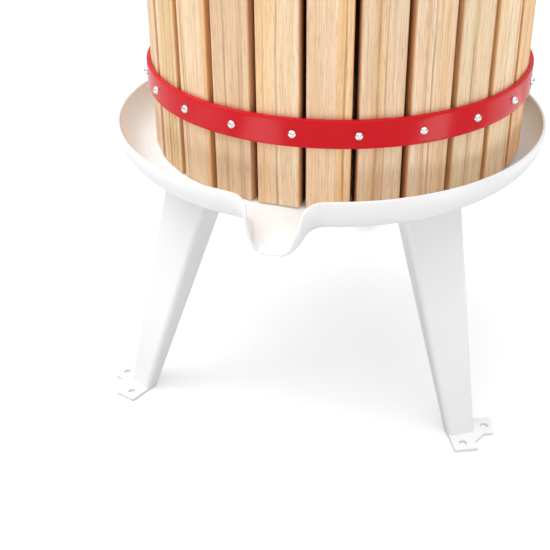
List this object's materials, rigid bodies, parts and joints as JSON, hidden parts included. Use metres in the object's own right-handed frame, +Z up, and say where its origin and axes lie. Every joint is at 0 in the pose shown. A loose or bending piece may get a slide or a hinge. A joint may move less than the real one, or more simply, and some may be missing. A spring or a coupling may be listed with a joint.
{
  "type": "fruit press",
  "caption": "Slatted wooden basket press with a central screw and T-handle, standing in a round spouted juice tray on folded sheet legs.",
  "frame": {"origin": "middle of the footprint on the floor", "axes": "+Z up along the spindle, -Y out through the pouring spout, +X to the right when facing the spout's side from the front"},
  "size_m": [0.437, 0.3568, 0.65],
  "materials": {
    "white_coat": "smooth satin powder coat",
    "red_coat": "glossy enamel",
    "stave_wood": "planed, unvarnished",
    "press_wood": "planed, unvarnished",
    "rivet_chrome": "bright plated",
    "zinc_steel": "bright zinc plated",
    "spindle_steel": "turned and lightly oiled",
    "bronze": "turned",
    "seal_rubber": "matte",
    "grip_plastic": "fine matte"
  },
  "bodies": {
    "frame": {"tray": "white_coat", "leg_front_left": "white_coat", "leg_front_right": "white_coat", "leg_rear": "white_coat", "spindle_support": "white_coat", "leg_bolts": "zinc_steel", "leg_washers": "zinc_steel", "leg_nuts": "zinc_steel", "spindle": "spindle_steel", "spindle_seal": "seal_rubber", "spindle_washer": "zinc_steel", "spindle_lock_nut": "zinc_steel"},
    "basket": {"stave_01": "stave_wood", "stave_02": "stave_wood", "stave_03": "stave_wood", "stave_04": "stave_wood", "stave_05": "stave_wood", "stave_06": "stave_wood", "stave_07": "stave_wood", "stave_08": "stave_wood", "stave_09": "stave_wood", "stave_10": "stave_wood", "stave_11": "stave_wood", "stave_12": "stave_wood", "stave_13": "stave_wood", "stave_14": "stave_wood", "stave_15": "stave_wood", "stave_16": "stave_wood", "stave_17": "stave_wood", "stave_18": "stave_wood", "stave_19": "stave_wood", "stave_20": "stave_wood", "stave_21": "stave_wood", "stave_22": "stave_wood", "stave_23": "stave_wood", "stave_24": "stave_wood", "stave_25": "stave_wood", "stave_26": "stave_wood", "hoop_lower": "red_coat", "hoop_upper": "red_coat", "hoop_rivets_lower": "rivet_chrome", "hoop_rivets_upper": "rivet_chrome", "rivet_washers_lower": "zinc_steel", "rivet_washers_upper": "zinc_steel"},
    "pressing_set": {"press_plate_left": "press_wood", "press_plate_right": "press_wood", "pressing_block_lower_front": "press_wood", "pressing_block_lower_rear": "press_wood", "pressing_block_upper_left": "press_wood", "pressing_block_upper_right": "press_wood", "thrust_plate": "zinc_steel", "thrust_washer": "bronze"},
    "press_screw": {"press_nut": "red_coat", "handle_rod_left": "spindle_steel", "handle_rod_right": "spindle_steel", "handle_grip_left": "grip_plastic", "handle_grip_right": "grip_plastic"}
  },
  "joints": [
    {"name": "basket_lift", "type": "slide", "parent": "frame", "child": "basket", "axis": [0, 0, 1], "range_m": [0, 0.5]},
    {"name": "press_travel", "type": "slide", "parent": "basket", "child": "pressing_set", "axis": [0, 0, 1], "range_m": [-0.1142, 0.0242]},
    {"name": "screw_turn", "type": "hinge", "parent": "pressing_set", "child": "press_screw", "pos_m": [0, -0.02437, 0.59], "axis": [0, 0, 1], "range_deg": [-6840, 1440]}
  ],
  "couplings": [
    {"joint": "press_travel", "follows": "screw_turn", "m_per_rad": 0.00095493}
  ]
}
